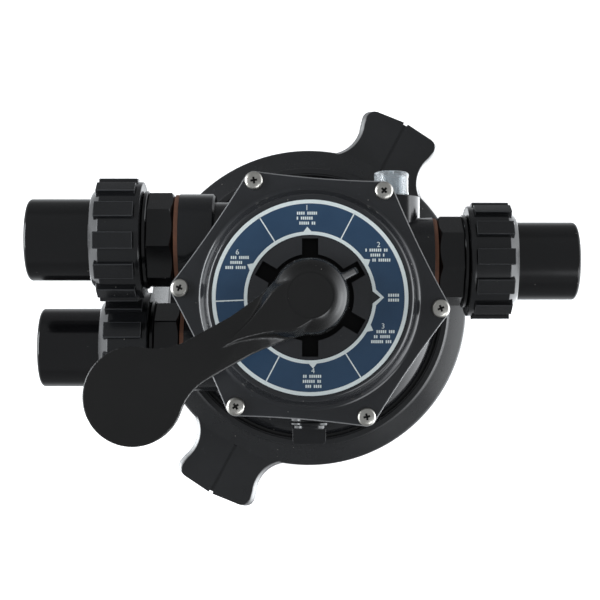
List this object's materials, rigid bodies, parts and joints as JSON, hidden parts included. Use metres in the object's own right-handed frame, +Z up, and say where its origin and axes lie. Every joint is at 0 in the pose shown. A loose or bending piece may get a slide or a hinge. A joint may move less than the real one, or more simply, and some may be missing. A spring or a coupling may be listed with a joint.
{
  "type": "sand filter selector valve",
  "caption": "Top-mount selector valve for a sand filter: lever handle, printed dial, screwed cover, threaded unions on each port and an eared ring nut for the tank neck.",
  "frame": {"origin": "bottom centre of the tank ring nut, on the valve's vertical axis, at the middle of the box round the whole valve", "axes": "+Z up the valve's axis to the handle, +X out of the waste port, so the pump and return ports point along -X; the pump port is on the +Y side"},
  "size_m": [0.412, 0.3224, 0.242],
  "materials": {
    "body_plastic": "moulded gloss black",
    "cover_plastic": "moulded gloss black",
    "handle_plastic": "moulded satin black",
    "ring_plastic": "moulded satin black",
    "union_plastic": "moulded gloss black",
    "inner_plastic": "moulded matt black",
    "stainless": "bright stainless steel",
    "rubber": "moulded rubber",
    "brown_gasket": "cut flat gasket, red-brown",
    "dial_print": "printed foil, blue and off-white",
    "clear_plastic": "clear moulded plastic"
  },
  "bodies": {
    "housing": {"valve_body": "body_plastic", "tank_bell": "body_plastic", "riser_tube": "body_plastic", "cover": "cover_plastic", "dial_label": "dial_print", "cover_screws": "stainless", "cover_washers": "stainless", "cover_nuts": "stainless", "cover_o_ring": "rubber", "spider_gasket": "rubber", "tank_o_ring": "rubber", "riser_o_ring": "rubber", "pump_nipple": "union_plastic", "pump_thread_gasket": "brown_gasket", "pump_union_o_ring": "rubber", "return_nipple": "union_plastic", "return_thread_gasket": "brown_gasket", "return_union_o_ring": "rubber", "waste_nipple": "union_plastic", "waste_thread_gasket": "brown_gasket", "waste_union_o_ring": "rubber"},
    "tank_ring": {"tank_ring_nut": "ring_plastic"},
    "selector": {"handle_washer": "inner_plastic"},
    "rotor_unit": {"rotor": "inner_plastic", "stem": "stainless", "stem_o_rings": "rubber", "spring": "stainless", "spring_washer": "stainless", "handle_pin": "stainless"},
    "lever": {"handle": "handle_plastic"},
    "pump_pipe_end": {"pump_tail": "union_plastic"},
    "pump_coupling": {"pump_union_nut": "union_plastic"},
    "return_pipe_end": {"return_tail": "union_plastic"},
    "return_coupling": {"return_union_nut": "union_plastic"},
    "waste_pipe_end": {"waste_tail": "union_plastic"},
    "waste_coupling": {"waste_union_nut": "union_plastic"},
    "sight_seal": {"sight_glass_o_ring": "rubber"},
    "sight_cap": {"sight_glass": "clear_plastic"},
    "drain_seal": {"drain_plug_o_ring": "rubber"},
    "drain_cap": {"drain_plug": "body_plastic"}
  },
  "joints": [
    {"name": "tank_ring_turn", "type": "hinge", "parent": "housing", "child": "tank_ring", "pos_m": [0, 0, 0.02], "axis": [0, 0, 1], "continuous": true},
    {"name": "selector_turn", "type": "hinge", "parent": "housing", "child": "selector", "pos_m": [0, 0, 0.19], "axis": [0, 0, 1], "continuous": true},
    {"name": "rotor_lift", "type": "slide", "parent": "selector", "child": "rotor_unit", "axis": [0, 0, 1], "range_m": [0, 0.005], "stiffness_N_per_m": 1500, "springref_m": -0.012, "deforming": ["spring"]},
    {"name": "handle_press", "type": "hinge", "parent": "rotor_unit", "child": "lever", "pos_m": [0, 0, 0.212], "axis": [0.5, -0.866, 0], "range_deg": [0, 14]},
    {"name": "pump_pipe_draw", "type": "slide", "parent": "housing", "child": "pump_pipe_end", "axis": [-1, 0, 0], "range_m": [0, 0.0125]},
    {"name": "pump_nut_turn", "type": "hinge", "parent": "pump_pipe_end", "child": "pump_coupling", "pos_m": [-0.14, 0.045, 0.138], "axis": [-1, 0, 0], "range_deg": [0, 1080]},
    {"name": "return_pipe_draw", "type": "slide", "parent": "housing", "child": "return_pipe_end", "axis": [-1, 0, 0], "range_m": [0, 0.0125]},
    {"name": "return_nut_turn", "type": "hinge", "parent": "return_pipe_end", "child": "return_coupling", "pos_m": [-0.14, -0.0335, 0.08], "axis": [-1, 0, 0], "range_deg": [0, 1080]},
    {"name": "waste_pipe_draw", "type": "slide", "parent": "housing", "child": "waste_pipe_end", "axis": [1, 0, 0], "range_m": [0, 0.0125]},
    {"name": "waste_nut_turn", "type": "hinge", "parent": "waste_pipe_end", "child": "waste_coupling", "pos_m": [0.14, 0.0335, 0.08], "axis": [1, 0, 0], "range_deg": [0, 1080]},
    {"name": "sight_draw", "type": "slide", "parent": "housing", "child": "sight_seal", "axis": [0, 1, 0], "range_m": [0, 0.01]},
    {"name": "sight_turn", "type": "hinge", "parent": "sight_seal", "child": "sight_cap", "pos_m": [0.064, 0.09, 0.08], "axis": [0, 1, 0], "range_deg": [0, 1815]},
    {"name": "drain_draw", "type": "slide", "parent": "housing", "child": "drain_seal", "axis": [0, -1, 0], "range_m": [0, 0.01]},
    {"name": "drain_turn", "type": "hinge", "parent": "drain_seal", "child": "drain_cap", "pos_m": [0, -0.095, 0.08], "axis": [0, -1, 0], "range_deg": [0, 1815]}
  ],
  "couplings": [
    {"joint": "rotor_lift", "follows": "handle_press", "m_per_rad": 0.02},
    {"joint": "pump_pipe_draw", "follows": "pump_nut_turn", "m_per_rad": 0.00063662},
    {"joint": "return_pipe_draw", "follows": "return_nut_turn", "m_per_rad": 0.00063662},
    {"joint": "waste_pipe_draw", "follows": "waste_nut_turn", "m_per_rad": 0.00063662},
    {"joint": "sight_turn", "follows": "sight_draw", "rad_per_m": 3141.6},
    {"joint": "drain_turn", "follows": "drain_draw", "rad_per_m": 3141.6}
  ]
}
